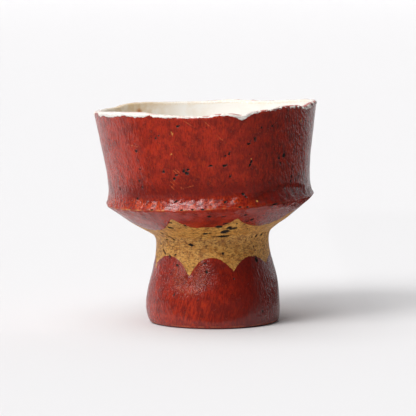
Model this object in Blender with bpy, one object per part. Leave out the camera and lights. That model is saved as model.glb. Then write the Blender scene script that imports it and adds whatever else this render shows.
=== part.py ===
"""A hand-built ceramic cup: a flared bowl with a sharp keel, standing on a tall hollow foot.

It is one fired piece. Metres, +Z up, the front towards -Y. The foot stands flat on z = 0, and the
finished cup is centred over the origin. A bearing is an angle round the cup, in degrees from the
front, growing towards +X.
"""

import math

import bmesh
import bpy
from mathutils import Vector
from mathutils.geometry import interpolate_bezier

# Diameters, measured on the cup as it would be turned, before the hand bends it
RIM_DIAMETER = 0.0846
KEEL_DIAMETER = 0.0794
WAIST_DIAMETER = 0.0425
FOOT_DIAMETER = 0.0512

# Heights, each from the level below it
FOOT_HEIGHT = 0.0300
UNDERSIDE_RISE = 0.0168
WALL_RISE = 0.0346

# The scoop that the fingers pressed in above the keel
SCOOP_DEPTH = 0.0014
SCOOP_RISE = 0.0072

# The fillet where the underside of the bowl runs into the waist
NECK_FLARE = 0.0017
NECK_RISE = 0.0050

# Walls
LIP_THICKNESS = 0.0022
BOWL_WALL = 0.0042
FOOT_WALL = 0.0046
FLOOR_THICKNESS = 0.0064
FOOT_EDGE_ROUND = 0.0008

# How the hand left it: the bowl leans to the left on its foot, the keel sags at the front, the neck is
# pushed to the right, and the foot's left heel is tucked in
BOWL_LEAN = math.radians(3.0)
LEAN_PIVOT_HEIGHT = 0.0250
LEAN_FROM = 0.0050
LEAN_TO = 0.0250
HEEL_TUCK = 0.0012
HEEL_HEIGHT = 0.0080
KEEL_SAG = 0.0008
NECK_PUSH = 0.0005

# The torn rim: (bearing, lift) of its high and low places, and how far down the wall they reach
RIM_LIFTS = (
    (0, -0.0007),
    (8, 0.0000),
    (14, -0.0002),
    (18.5, -0.0012),
    (24, 0.0000),
    (37, 0.0002),
    (43, 0.0009),
    (55, 0.0006),
    (62, -0.0004),
    (71, 0.0006),
    (88, 0.0005),
    (107, 0.0003),
    (125, -0.0004),
    (145, -0.0009),
    (155, -0.0006),
    (165, 0.0000),
    (180, -0.0002),
    (200, 0.0003),
    (215, 0.0011),
    (227, 0.0012),
    (236, 0.0003),
    (248, 0.0004),
    (270, 0.0006),
    (290, 0.0013),
    (310, 0.0016),
    (325, 0.0016),
    (338, 0.0005),
    (352, -0.0004),
)
RIM_REACH = 0.0160

# Dents and swellings of the pinched wall: (waves round the cup, size, bearing of a crest)
WALL_WAVES = (
    (2, 0.00030, 35),
    (3, 0.00022, 110),
    (5, 0.00016, 20),
    (9, 0.00007, 64),
)
FOOT_WAVES = ((2, 0.00030, 130), (5, 0.00014, 12))

SEGMENTS = 96

RIM_RADIUS = RIM_DIAMETER / 2
KEEL_RADIUS = KEEL_DIAMETER / 2
WAIST_RADIUS = WAIST_DIAMETER / 2
FOOT_RADIUS = FOOT_DIAMETER / 2
WAIST_LEVEL = FOOT_HEIGHT
KEEL_LEVEL = WAIST_LEVEL + UNDERSIDE_RISE
SCOOP_LEVEL = KEEL_LEVEL + SCOOP_RISE
LIP_LEVEL = KEEL_LEVEL + WALL_RISE
SCOOP_RADIUS = KEEL_RADIUS - SCOOP_DEPTH


def at(radius, height):
    return Vector((radius, 0, height))


def along(slope, length):
    """A handle's reach: length metres at slope degrees above the horizontal, outwards."""
    angle = math.radians(slope)
    return Vector((math.cos(angle), 0, math.sin(angle))) * length


def sweep(start, leaving, arriving, end, steps):
    """Points of one curved run of the profile after its start: handles leave start and reach back from end."""
    return interpolate_bezier(start, start + leaving, end + arriving, end, steps + 1)[1:]


def bowl_inside():
    """From the middle of the bowl's floor out and up to the lip's inner edge."""
    ceiling = hollow_ceiling()
    middle = at(0, ceiling.z + FLOOR_THICKNESS)
    haunch = at(SCOOP_RADIUS - BOWL_WALL, SCOOP_LEVEL)
    lip = at(RIM_RADIUS - LIP_THICKNESS, LIP_LEVEL - LIP_THICKNESS / 3)
    rise = haunch.z - middle.z
    points = [middle]
    points += sweep(middle, along(0, haunch.x * 0.64), along(-90, rise * 0.72), haunch, 7)
    points += sweep(haunch, along(84, rise * 0.5), along(-98, WALL_RISE * 0.22), lip, 5)
    return points


def lip():
    """Over the lip: a thin, slightly everted edge, higher in its middle."""
    crest = at(RIM_RADIUS - LIP_THICKNESS / 2, LIP_LEVEL)
    inner = at(RIM_RADIUS - LIP_THICKNESS * 0.84, LIP_LEVEL - LIP_THICKNESS * 0.08)
    outer = at(RIM_RADIUS - LIP_THICKNESS * 0.10, LIP_LEVEL - LIP_THICKNESS * 0.12)
    brink = at(RIM_RADIUS, LIP_LEVEL - LIP_THICKNESS * 0.42)
    return [inner, crest, outer, brink]


def outside():
    """From below the lip down the wall, over the keel, in to the waist and out over the foot."""
    brink = at(RIM_RADIUS, LIP_LEVEL - LIP_THICKNESS * 0.42)
    below_lip = at(RIM_RADIUS - LIP_THICKNESS * 0.14, LIP_LEVEL - LIP_THICKNESS)
    scoop = at(SCOOP_RADIUS, SCOOP_LEVEL)
    keel_top = at(KEEL_RADIUS - SCOOP_DEPTH * 0.22, KEEL_LEVEL + SCOOP_DEPTH * 0.42)
    keel = at(KEEL_RADIUS, KEEL_LEVEL)
    keel_foot = at(KEEL_RADIUS - SCOOP_DEPTH * 0.40, KEEL_LEVEL - SCOOP_DEPTH * 0.44)
    neck = at(WAIST_RADIUS + NECK_FLARE, WAIST_LEVEL + NECK_RISE)
    waist = at(WAIST_RADIUS, WAIST_LEVEL)
    belly = at(FOOT_RADIUS, FOOT_HEIGHT * 0.18)
    edge = at(FOOT_RADIUS - FOOT_EDGE_ROUND * 0.3, FOOT_EDGE_ROUND)
    points = [below_lip]
    points += sweep(below_lip, along(-98, WALL_RISE * 0.24), along(89, WALL_RISE * 0.15), scoop, 6)
    points += sweep(scoop, along(-90, SCOOP_RISE * 0.48), along(124, SCOOP_RISE * 0.20), keel_top, 4)
    points += [keel, keel_foot]
    spread = keel.x - neck.x
    points += sweep(keel_foot, along(-138, spread * 0.28), along(28, spread * 0.40), neck, 5)
    points += sweep(neck, along(-148, spread * 0.10), along(90, NECK_RISE * 0.5), waist, 3)
    points += sweep(waist, along(-90, FOOT_HEIGHT * 0.21), along(90, FOOT_HEIGHT * 0.37), belly, 5)
    points += sweep(belly, along(-90, FOOT_HEIGHT * 0.06), along(90, FOOT_EDGE_ROUND), edge, 1)
    return points


def hollow_ceiling():
    """The top of the hollow under the foot, in the middle."""
    return at(0, FOOT_HEIGHT + FLOOR_THICKNESS * 0.45)


def underneath():
    """Across the flat ring that the cup stands on, and up into the hollow foot."""
    ring_outer = at(FOOT_RADIUS - FOOT_EDGE_ROUND * 1.2, 0)
    ring_inner = at(FOOT_RADIUS - FOOT_WALL + FOOT_EDGE_ROUND * 0.6, 0)
    hollow_edge = at(FOOT_RADIUS - FOOT_WALL, FOOT_EDGE_ROUND)
    shoulder = at(WAIST_RADIUS - FOOT_WALL, FOOT_HEIGHT * 0.84)
    ceiling = hollow_ceiling()
    rise = ceiling.z - shoulder.z
    points = [ring_outer, ring_inner, hollow_edge]
    points += sweep(hollow_edge, along(90, FOOT_HEIGHT * 0.28), along(-84, FOOT_HEIGHT * 0.25), shoulder, 4)
    points += sweep(shoulder, along(96, rise * 0.6), along(0, shoulder.x * 0.5), ceiling, 3)
    return points


def fade(value):
    """0 below 0, 1 above 1, and a smooth step between."""
    value = min(1.0, max(0.0, value))
    return value * value * (3 - 2 * value)


def rim_lift(bearing):
    """The rim's lift at a bearing, eased between its high and low places."""
    stations = [*RIM_LIFTS, (RIM_LIFTS[0][0] + 360, RIM_LIFTS[0][1])]
    for (start, low), (end, high) in zip(stations, stations[1:]):
        if start <= bearing <= end:
            return low + (high - low) * fade((bearing - start) / (end - start))
    return stations[0][1]


def swelling(waves, bearing):
    return sum(
        size * math.cos(math.radians(count * (bearing - crest)))
        for count, size, crest in waves
    )


def hand_formed(point):
    """Where a point of the evenly turned cup ends up: dented, with its torn rim, and leaning."""
    radius = math.hypot(point.x, point.y)
    bearing = math.degrees(math.atan2(point.x, -point.y)) % 360
    height = point.z
    to_the_left = (1 - math.sin(math.radians(bearing))) / 2
    to_the_front = (1 + math.cos(math.radians(bearing))) / 2

    in_bowl = fade((height - WAIST_LEVEL) / UNDERSIDE_RISE)
    bend = swelling(WALL_WAVES, bearing) * in_bowl
    bend += swelling(FOOT_WAVES, bearing) * (1 - in_bowl)
    heel = max(0.0, 1 - height / HEEL_HEIGHT) ** 2
    bend -= HEEL_TUCK * heel * to_the_left**2
    near_neck = fade(1 - abs(height - WAIST_LEVEL - NECK_RISE) / (NECK_RISE * 1.6))
    bend += NECK_PUSH * near_neck * (1 - 2 * to_the_left)
    share = min(1.0, radius / WAIST_RADIUS)
    radius += bend * share

    in_rim = fade((height - (LIP_LEVEL - RIM_REACH)) / RIM_REACH)
    near_keel = fade(1 - abs(height - KEEL_LEVEL) / UNDERSIDE_RISE)
    height += rim_lift(bearing) * in_rim
    height -= KEEL_SAG * near_keel * to_the_front**4 * share

    angle = math.radians(bearing)
    x, y = radius * math.sin(angle), -radius * math.cos(angle)
    leaning = fade((height - LEAN_FROM) / (LEAN_TO - LEAN_FROM))
    turn = BOWL_LEAN * leaning
    arm = height - LEAN_PIVOT_HEIGHT
    return Vector(
        (
            x * math.cos(turn) - arm * math.sin(turn),
            y,
            LEAN_PIVOT_HEIGHT + arm * math.cos(turn) + x * math.sin(turn),
        )
    )


def turned_cup():
    """The evenly turned cup, as a closed shell spun from its profile."""
    shell = bmesh.new()
    profile = bowl_inside() + lip() + outside() + underneath()
    corners = [shell.verts.new(point) for point in profile]
    edges = [shell.edges.new(pair) for pair in zip(corners, corners[1:])]
    bmesh.ops.spin(
        shell,
        geom=corners + edges,
        axis=(0, 0, 1),
        cent=(0, 0, 0),
        angle=math.tau,
        steps=SEGMENTS,
        use_merge=True,
    )
    bmesh.ops.remove_doubles(shell, verts=shell.verts, dist=1e-6)
    bmesh.ops.recalc_face_normals(shell, faces=shell.faces)
    return shell


def centre_over_origin(shell):
    """Moves the cup so that the middle of its width and depth is over the origin."""
    for axis in (0, 1):
        places = [corner.co[axis] for corner in shell.verts]
        middle = (min(places) + max(places)) / 2
        for corner in shell.verts:
            corner.co[axis] -= middle


def lacquered_clay():
    """Red lacquer over fired clay."""
    material = bpy.data.materials.new("red_lacquer_on_clay")
    material.use_nodes = True
    shader = material.node_tree.nodes["Principled BSDF"]
    shader.inputs["Base Color"].default_value = (0.36, 0.035, 0.018, 1)
    shader.inputs["Roughness"].default_value = 0.42
    shader.inputs["Metallic"].default_value = 0.0
    return material


def main():
    for leftover in list(bpy.data.objects):
        bpy.data.objects.remove(leftover)
    shell = turned_cup()
    for corner in shell.verts:
        corner.co = hand_formed(corner.co)
    centre_over_origin(shell)
    mesh = bpy.data.meshes.new("cup")
    shell.to_mesh(mesh)
    shell.free()
    mesh.shade_smooth()
    mesh.materials.append(lacquered_clay())
    bpy.context.scene.collection.objects.link(bpy.data.objects.new("cup", mesh))


main()
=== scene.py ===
"""The looks of a hand-built footed cup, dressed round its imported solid.

The outside is red lacquer with a band of ochre slip that scalloped edges leave bare, the inside is
white glaze, and the lip is torn clay under the same glaze. Metres, +Z up, the front towards -Y. A
bearing is an angle round the cup in degrees from the front, growing towards +X. The bowl leans on
its foot, so places on it are read in its own leaning frame.
"""

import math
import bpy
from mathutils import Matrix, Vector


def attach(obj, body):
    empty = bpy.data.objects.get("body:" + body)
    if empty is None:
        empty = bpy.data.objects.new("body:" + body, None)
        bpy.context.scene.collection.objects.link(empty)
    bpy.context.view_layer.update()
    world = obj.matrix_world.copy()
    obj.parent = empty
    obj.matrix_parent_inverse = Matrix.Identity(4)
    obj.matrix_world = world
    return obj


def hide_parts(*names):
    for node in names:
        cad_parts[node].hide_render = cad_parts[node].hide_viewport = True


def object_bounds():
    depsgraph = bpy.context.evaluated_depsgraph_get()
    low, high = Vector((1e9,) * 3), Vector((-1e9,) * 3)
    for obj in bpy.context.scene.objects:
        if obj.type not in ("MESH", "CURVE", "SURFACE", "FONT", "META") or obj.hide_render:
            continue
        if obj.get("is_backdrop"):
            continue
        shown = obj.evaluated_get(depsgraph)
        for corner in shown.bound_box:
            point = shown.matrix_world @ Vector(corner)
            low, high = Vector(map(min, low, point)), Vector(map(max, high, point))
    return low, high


bl_info = {
    "name": "Footed cup looks",
    "version": (1, 0, 0),
    "blender": (4, 5, 0),
    "location": "View3D > Sidebar > Cup",
    "description": "Dresses the packed cup in red lacquer, ochre slip and white glaze",
    "category": "Object",
}

import bpy
from mathutils import Vector, kdtree, noise

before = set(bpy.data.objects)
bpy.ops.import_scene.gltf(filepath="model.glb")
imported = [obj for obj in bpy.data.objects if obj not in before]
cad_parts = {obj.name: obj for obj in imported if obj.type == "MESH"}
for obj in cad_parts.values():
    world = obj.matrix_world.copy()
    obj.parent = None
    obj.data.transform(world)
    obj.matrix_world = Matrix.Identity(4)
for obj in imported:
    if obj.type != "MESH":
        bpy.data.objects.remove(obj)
cad_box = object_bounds()

MM = 0.001
NODE = "cup"
BODY = "root"

# Where the foot's own axis stands, and how the bowl leans on it
FOOT_AXIS = Vector((0.00272, 0.00011, 0.0))
BOWL_LEAN = math.radians(3.0)
LEAN_PIVOT = 0.0250

# The wall's millimetres to a degree of bearing, on the bowl and on the foot
BOWL_MM_A_DEGREE = 0.68
FOOT_MM_A_DEGREE = 0.42

# Levels that part the outside from the inside: the hollow's top and the bowl's floor
HOLLOW_TOP = 0.0340
BOWL_FLOOR = 0.0385

# The level of the keel's edge in mm, on the leaning bowl
KEEL_LEVEL = 47.2

# The lip: how far the torn white edge can reach below the crest outside, and the glaze inside
TORN_REACH = 2.2 * MM
LIP_INSIDE = 4.0 * MM

# On how many spokes round the bowl the crest is read, from the solid's mesh and from the fine lip's,
# and the crest's radius where a spoke has no point
SPOKES = 96
LIP_SPOKES = 768
CREST_RADIUS = 40.5 * MM

# Over how many mm the torn edge rises from under the wall to its full height
TORN_FADE = 0.22

# (bearing, how far the torn edge hangs below the crest in mm), round the front of the lip, and what is
# taken off each depth so that the finished edge shows there
TORN_EDGE = (
    (-84, 0.3), (-73, 0.9), (-69, 2.2), (-66, 1.6), (-62, 1.7), (-56, 2.1), (-49, 1.8), (-45.7, 1.4),
    (-42, 1.8), (-37, 2.2), (-33, 1.9), (-28.3, 0.8), (-25.6, 1.2), (-20.6, 1.3), (-14.7, 1.0),
    (-11.4, 0.7), (-6.7, 0.8), (-0.5, 0.6), (4, 1.0), (7.9, 0.8), (13, 1.2), (16, 1.5), (18.5, 2.2),
    (21, 1.8), (23.6, 1.4), (29.7, 0.8), (36.4, 0.5), (39.4, 0.8), (43.6, 0.9), (48, 0.5), (53, 0.8),
    (57, 0.9), (62, 1.0), (67.4, 1.5), (73, 1.9), (80, 0.6), (88, 0.9),
)
TORN_TRIM = 0.4

# Cusps of the scallops. On the foot red lobes rise between them to one crest, and under the bowl
# red lobes hang between them: (bearing, level in mm), the level of the lobes' ends, and how full a
# lobe is, which is 1 for straight sides and more for rounder ones
FOOT_CUSPS = (
    (-158, 21.0), (-115, 20.5), (-70, 22.8), (-23, 19.2), (21.2, 21.4), (64, 23.2), (110, 20.8),
    (156, 21.6),
)
FOOT_CREST = 26.6
FOOT_BOW = 2.2
BOWL_CUSPS = (
    (-178, 42.0), (-127, 42.6), (-77, 42.2), (-23, 43.3), (16.8, 42.0), (68, 42.2), (124, 41.8),
)
BOWL_LOWS = (38.4, 38.0, 37.6, 39.0, 37.6, 38.2, 38.4)
BOWL_BOW = 2.8

# Marks on the coat, each as (bearing, level, length, width, tilt): degrees and mm, with the length along
# the level line and the tilt anticlockwise, or 0 where it isn't given. Those in front are in the
# photograph, and those at the sides and the back are made up. On the bowl: open pits, flecks, scratches
BOWL_PITS = (
    (-40.5, 68.6, 1.3, 0.9), (-39.6, 61.7, 0.7, 0.6), (-24.4, 60.8, 1.0, 0.9), (-12.8, 60.8, 0.9, 0.9),
    (-11.2, 60.1, 1.7, 1.2, -30), (-10.3, 61.4, 1.0, 0.7, 20), (-18.5, 58.2, 0.9, 1.4),
    (-17, 59.5, 1.6, 0.6, 15), (2, 62.5, 1.5, 0.7), (9.3, 62.2, 1.7, 0.9), (12, 66.4, 0.8, 0.6),
    (10, 65.8, 0.8, 0.5), (24.3, 62.9, 1.4, 0.8, 55), (23.4, 61.7, 1.3, 0.9, 50),
    (46.6, 63.9, 1.9, 1.5, 60), (42.8, 63, 0.9, 0.8), (44.2, 61.3, 0.7, 0.8), (54, 55.6, 1.0, 2.2),
    (53.3, 53.8, 0.8, 1.2), (12.4, 57.9, 0.8, 0.5), (-42, 57.3, 0.7, 1.6), (-40.6, 55, 0.8, 0.7),
    (-60, 53.7, 0.8, 0.6), (-44.7, 50.7, 0.8, 1.2, -40), (-18.8, 49.7, 1.6, 0.6, 30),
    (19.3, 51.2, 1.4, 0.9, -30), (20.6, 50.2, 1.0, 0.7, -40), (9, 48.8, 1.3, 0.6, 35),
    (-15, 46.7, 1.1, 0.5), (-9, 46.7, 1.0, 0.6), (-3.5, 46.6, 1.3, 0.6), (-33, 46.8, 1.2, 0.5),
    (16.5, 46.7, 1.2, 0.5), (20.7, 46.5, 1.0, 0.5), (37.6, 46.4, 2.4, 0.7, 5), (-13.8, 77.6, 1.1, 0.9),
    (-26.6, 73.4, 0.6, 0.9), (26, 71.5, 0.7, 0.8), (22.7, 69.7, 1.6, 0.7, 10), (36.6, 75.5, 0.7, 1.6),
    (30, 75.3, 1.0, 0.5), (21.2, 43.2, 1.5, 0.5, -5), (28, 40.9, 2.2, 0.9, 5), (25, 40.4, 1.5, 0.5, 20),
    (25, 39, 1.4, 0.6, 25), (-0.4, 43.6, 1.6, 0.6), (8, 43.3, 2.2, 0.3, 5), (97, 60.5, 1.4, 0.8, 20),
    (99, 59.6, 0.8, 0.6), (118, 66, 1.0, 0.8), (140, 55, 1.6, 0.9, -20), (138, 73, 0.7, 1.2),
    (170, 68, 1.0, 0.9), (173, 66.8, 1.5, 0.7, 30), (-170, 52.5, 1.1, 0.8), (-150, 62, 1.2, 0.9, 10),
    (-148, 61, 0.7, 0.6), (-132, 58, 1.0, 0.7), (-110, 69, 1.3, 0.8, 30), (-95, 57.5, 0.9, 1.4),
    (-86, 63, 0.8, 0.6), (88, 48.4, 1.2, 0.7), (125, 47.8, 1.4, 0.6, 10), (-120, 48.6, 1.2, 0.7, -10),
    (-160, 47.9, 1.0, 0.6),
)
BOWL_FLECKS = (
    (27.1, 48.2, 0.8, 0.8), (-16.8, 75, 0.5, 0.5), (-18.5, 67.5, 0.5, 0.4), (24.2, 64, 0.4, 0.8),
    (59.4, 76.1, 0.4, 0.8),
)
BOWL_SCRATCHES = (
    (1.7, 77.7, 4.9, 0.22, -48), (7.5, 72.5, 3.8, 0.2, -42), (-8, 78.4, 5.4, 0.2, -36),
    (-42, 70.6, 7, 0.25, -10), (-17, 60.3, 3.6, 0.2, -48), (-15.6, 60.7, 3.6, 0.2, -48),
    (-18.4, 57, 3.4, 0.2, -48), (-19.6, 56.2, 3.2, 0.2, -48), (-20.6, 55, 3.0, 0.2, -48),
    (-12, 54.8, 6, 0.2, 10),
)

# The same on the ochre band and the foot: streaks and pits, and flecks of ochre
FOOT_PITS = (
    (-30.5, 38.3, 2.4, 0.7, -8), (-18.4, 39.4, 1.0, 0.5), (-27.4, 40.6, 1.6, 0.5, 10),
    (-47.4, 35.3, 1.3, 1.0), (-44, 34, 2.2, 0.5, -15), (-40.7, 32.9, 1.8, 0.5, -20),
    (-50, 32.6, 1.8, 0.3, -5), (-63, 30.4, 1.4, 0.4), (-56, 28, 3.6, 0.6, -38),
    (-47, 26.6, 1.6, 0.5, -38), (-40, 27.1, 1.1, 0.6, 20), (-21.9, 31.2, 2.3, 1.1, -12),
    (-6, 35.9, 2.4, 0.8, 8), (-2, 36.2, 1.4, 0.4, 25), (4.7, 39.1, 2.6, 1.2), (8.6, 40.4, 2.2, 0.6, 15),
    (12.5, 38.4, 2.4, 1.3, 40), (10.5, 36.7, 3.6, 1.8, 12), (16.4, 38, 3.0, 1.1, 14),
    (10, 34.7, 5.6, 0.8, 2), (1.5, 34.5, 1.8, 0.3, 8), (17, 40.3, 0.9, 0.4), (30, 37.5, 1.2, 0.4, -15),
    (44.6, 33.7, 0.8, 0.8), (51, 34, 1.8, 0.9, 40), (60, 34.2, 1.5, 1.2), (67, 34.6, 0.7, 0.8),
    (48, 30, 0.7, 0.8), (68, 29.6, 0.8, 0.6), (10.7, 28.2, 1.0, 0.9, -30), (-36.8, 23.3, 1.1, 0.8),
    (-5.4, 21.2, 1.0, 0.9), (49.7, 25, 1.8, 1.8), (76, 22.2, 0.7, 0.9), (-7, 24.5, 1.3, 0.4, 20),
    (-35.5, 12.4, 0.9, 0.5, 25), (49.2, 5.8, 1.0, 0.9), (20.5, 18.7, 0.7, 0.6), (100, 36, 3.0, 0.8, 8),
    (104, 38, 2.2, 0.6, 15), (112, 34.5, 1.6, 0.4, -5), (130, 34, 1.8, 0.5, -10),
    (150, 37, 2.8, 1.0, 5), (155, 35.6, 2.0, 0.5, -8), (-170, 35.5, 2.4, 0.8, -8),
    (-145, 33.5, 1.6, 0.5, 12), (-120, 37, 3.2, 0.9, -5), (-117, 35.4, 2.0, 0.5, 10),
    (-95, 34.5, 2.0, 0.7, -15), (-88, 32, 1.4, 0.4), (120, 14, 1.0, 0.8), (165, 19, 1.1, 0.9),
    (-130, 16, 0.9, 0.8), (-100, 9, 0.8, 0.6),
)
FOOT_FLECKS = ((-69, 22.3, 1.4, 2.6, 75),)

# Where brush hairs fan out on the foot: (bearing, level in mm), and how close they lie, as features to
# a radian round it and to a millimetre outwards
HAIR_FAN = (-22, 20)
HAIRS_ROUND = 20.0
HAIRS_OUT = 0.7

# Stains on the glaze inside, at the far left under the lip; the tan one is partly painted shade
STAIN_AND_SHADE = (-0.0290, 0.0270, 0.0790)
RUST = (-0.0259, 0.0310, 0.0777)

# Each list with the lean of the wall that it is read on, and the wall's millimetres to a degree
PITS = ((BOWL_PITS, BOWL_LEAN, BOWL_MM_A_DEGREE), (FOOT_PITS, 0.0, FOOT_MM_A_DEGREE))
FLECKS = ((BOWL_FLECKS, BOWL_LEAN, BOWL_MM_A_DEGREE), (FOOT_FLECKS, 0.0, FOOT_MM_A_DEGREE))
SCRATCHES = ((BOWL_SCRATCHES, BOWL_LEAN, BOWL_MM_A_DEGREE),)

# Scoops pressed into the bowl over the keel, and into the foot: bearings where each starts and ends,
# the level in mm where it is deepest, how much higher that is in its middle, how far it fades below
# and above, and its depth in mm
SCOOPS = (
    (-52, 24, 50.6, 0.0, 4.0, 12.0, 0.95),
    (22, 72, 49.4, 2.4, 3.4, 1.3, 0.75),
    (-60, 40, 21.0, 0.0, 10.0, 6.0, 0.65),
)

# The attributes that the materials read: how far below the crest, in mm, a point of the torn lip
# belongs, and how far a point of the wall lies in a pit, on a fleck or on a scratch, from 0 to 1
DEPTH = "depth_below_crest"
PIT = "in_pit"
FLECK = "on_fleck"
SCRATCH = "on_scratch"

# A colour ramp holds numbers from 0 to 1: depths of a scallop span 20 mm, and levels reach 100 mm
RAMP_SPAN = 20.0
RAMP_TOP = 100.0

# Black cloths laid in front and on the right, that only the gloss shows: x and y of two corners of each
FLAGS = {
    "front_flag": ((-0.60, -1.20), (1.40, -0.03)),
    "right_flag": ((0.06, -0.03), (1.40, 0.42)),
}

# Soft lights so far away that they light the whole paper evenly: name, the way to the light, how wide
# it looks in degrees, and its strength in watts a square metre
LIGHTS = (
    ("key_light", (-0.58, -0.54, 0.60), 28, 1.9),
    ("front_light", (-0.28, -0.62, 0.74), 24, 0.65),
    ("top_light", (-0.2, -0.1, 0.97), 60, 1.62),
)

# The paper sweep in metres: its width, its depth, how high its back stands and the bend between
SWEEP_WIDTH = 16
SWEEP_DEPTH = 12
SWEEP_RISE = 4
SWEEP_BEND = 1.2


def linear(hex_colour):
    """An sRGB colour such as "#b23a26" as linear red, green, blue and alpha."""
    shares = [int(hex_colour[i : i + 2], 16) / 255 for i in (1, 3, 5)]
    return [s / 12.92 if s <= 0.04045 else ((s + 0.055) / 1.055) ** 2.4 for s in shares] + [1.0]


def colour(name, description, hex_colour):
    return bpy.props.FloatVectorProperty(
        name=name, description=description, default=linear(hex_colour),
        size=4, subtype="COLOR", min=0, max=1,
    )


def length(name, description, default):
    return bpy.props.FloatProperty(
        name=name, description=description, default=default, min=0, unit="LENGTH", precision=5
    )


def angle(name, description, degrees):
    return bpy.props.FloatProperty(
        name=name, description=description, default=math.radians(degrees), subtype="ANGLE"
    )


class CupSizes(bpy.types.PropertyGroup):
    """Sizes of the surface's own forms."""

    dent_width: length("Dent width", "Finger dents in the outer wall, across", 11 * MM)
    dent_depth: length("Dent depth", "Finger dents in the outer wall, deep", 0.45 * MM)
    lump_width: length("Lump width", "Lumps of coarse clay under the coat, across", 2.6 * MM)
    lump_height: length("Lump height", "Lumps of coarse clay under the coat, high", 0.16 * MM)
    keel_dent: length("Keel dent depth", "Finger dents along the pinched keel", 0.5 * MM)
    keel_lump: length("Keel lump height", "Lumps along the keel", 0.55 * MM)
    pit_depth: length("Pit depth", "How far the pits are sunk in the wall", 0.28 * MM)
    glaze: length("Glaze thickness", "How far the white glaze stands off the clay inside", 0.15 * MM)
    torn_stand: length("Torn edge stand-off", "How far the torn lip stands proud of the wall", 0.24 * MM)
    torn_sink: length("Torn edge sink", "How far the lip's shell dives under the wall", 0.2 * MM)
    torn_wall: length("Torn edge thickness", "Thickness of the lip's shell", 0.6 * MM)
    torn_grain: length("Torn grain", "Roughness of the torn clay", 0.22 * MM)


class CupColours(bpy.types.PropertyGroup):
    """Colours of the coats, the glaze and the clay."""

    red: colour("Red lacquer", "The lacquer where it lies evenly", "#a82d1c")
    # Deep red is also painted shade on the right of the bowl, the keel and the foot, and in the lip's gaps
    deep_red: colour("Deep red", "The lacquer where it lies thick", "#641510")
    # Orange is also painted light on the lit left of the keel and low on the left of the foot
    orange: colour("Thin red", "The lacquer where it is rubbed thin, on ridges and the keel", "#ba3a0c")
    # Scratched red is also a painted glint on the fanned hairs of the foot
    thin: colour("Scratched red", "Scratches and hairs, where the clay shines through the red", "#cf6a3c")
    ochre: colour("Ochre slip", "The band between the scallops", "#ba7a2e")
    pale_ochre: colour("Worn ochre", "The ochre where it is rubbed", "#daa250")
    brown: colour("Brown stain", "Stains in the ochre", "#6c3a14")
    black: colour("Pit black", "Pits and streaks where the dark clay shows", "#1d1a17")
    white: colour("White glaze", "The glaze inside and on the lip", "#f2efe9")
    rust: colour("Rust spot", "A spot of iron in the glaze", "#b56a24")
    # Tan is also painted shade on the inside's left and at the stain under the far rim
    tan: colour("Tan stain", "Where the glaze ran thin", "#d8b98c")
    # Torn clay grey is also painted shade on the right of the lip
    grey: colour("Torn clay", "Clay that shows through the glaze on the torn lip", "#a79a92")
    clay: colour("Fired clay", "Bare clay under the foot", "#7d4a33")


class StudioSettings(bpy.types.PropertyGroup):
    """The camera, the sweep and the lights."""

    distance: length("Camera distance", "From the foot's axis to the camera, along the table", 1.1)
    height: length("Camera height", "The camera over the table", 0.152)
    aside: length("Camera offset", "From the foot's axis to the camera, to the right", 0.7 * MM)
    lens: bpy.props.FloatProperty(
        name="Lens", description="Focal length in mm", default=251.8, unit="CAMERA"
    )
    pitch: angle("Pitch", "How far the camera looks down", 5.652)
    pan: angle("Pan", "How far the camera looks to the left", 0.123)
    bright_side: bpy.props.FloatProperty(
        name="Bright side", description="How bright the room is behind the cup", default=0.8, min=0
    )
    dark_side: bpy.props.FloatProperty(
        name="Dark side", description="How bright the room is behind the camera", default=0.05, min=0
    )
    flag: colour("Black flags", "The cloths that keep the paper's glare off the cup", "#1c1a1a")
    sweep: colour("Paper sweep", "The pale paper that the cup stands on", "#e3e2e3")


def add(tree, kind, inputs=(), out=0, **settings):
    """Adds a node and returns one of its outputs.

    Inputs gives its sockets values or other nodes' outputs, as a list in their order or by name. A
    list in them is a value that a MapRange node spreads: the value, the low and high that it is spread
    from, and the low and high that it is spread to and held in, or 0 and 1.
    """
    node = tree.nodes.new("ShaderNode" + kind)
    for name, value in settings.items():
        setattr(node, name, value)
    for socket, value in inputs.items() if isinstance(inputs, dict) else enumerate(inputs):
        if isinstance(value, list):
            value = add(tree, "MapRange", value)
        if isinstance(value, bpy.types.NodeSocket):
            tree.links.new(value, node.inputs[socket])
        else:
            node.inputs[socket].default_value = value
    return node.outputs[out]


def new_material(name, **surface):
    """A material with one Principled BSDF whose sockets take the values given, its tree and its shader."""
    material = bpy.data.materials.new(name)
    material.use_nodes = True
    shader = material.node_tree.nodes["Principled BSDF"]
    for socket, value in surface.items():
        shader.inputs[socket.replace("_", " ")].default_value = value
    return material, material.node_tree, shader


def bearing_and_level(tree, turn=0.0, pivot=0.0):
    """Outputs for the bearing in degrees and the level in mm, in a frame that leans by turn about a level."""
    sine, cosine = math.sin(turn), math.cos(turn)
    across = -FOOT_AXIS.x * cosine - pivot * sine
    up = FOOT_AXIS.x * sine + pivot * (1 - cosine)
    place = add(tree, "Mapping", {
        "Vector": add(tree, "TexCoord", out="Object"),
        "Location": (across, -FOOT_AXIS.y, up),
        "Rotation": (0, turn, 0),
    })
    parts = add(tree, "SeparateXYZ", [place]).node.outputs
    front = add(tree, "Math", [parts[1], -1.0], operation="MULTIPLY")
    angle = add(tree, "Math", [parts[0], front], operation="ARCTAN2")
    bearing = add(tree, "Math", [angle], operation="DEGREES")
    level = add(tree, "Math", [parts[2], MM], operation="DIVIDE")
    return bearing, level


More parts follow.
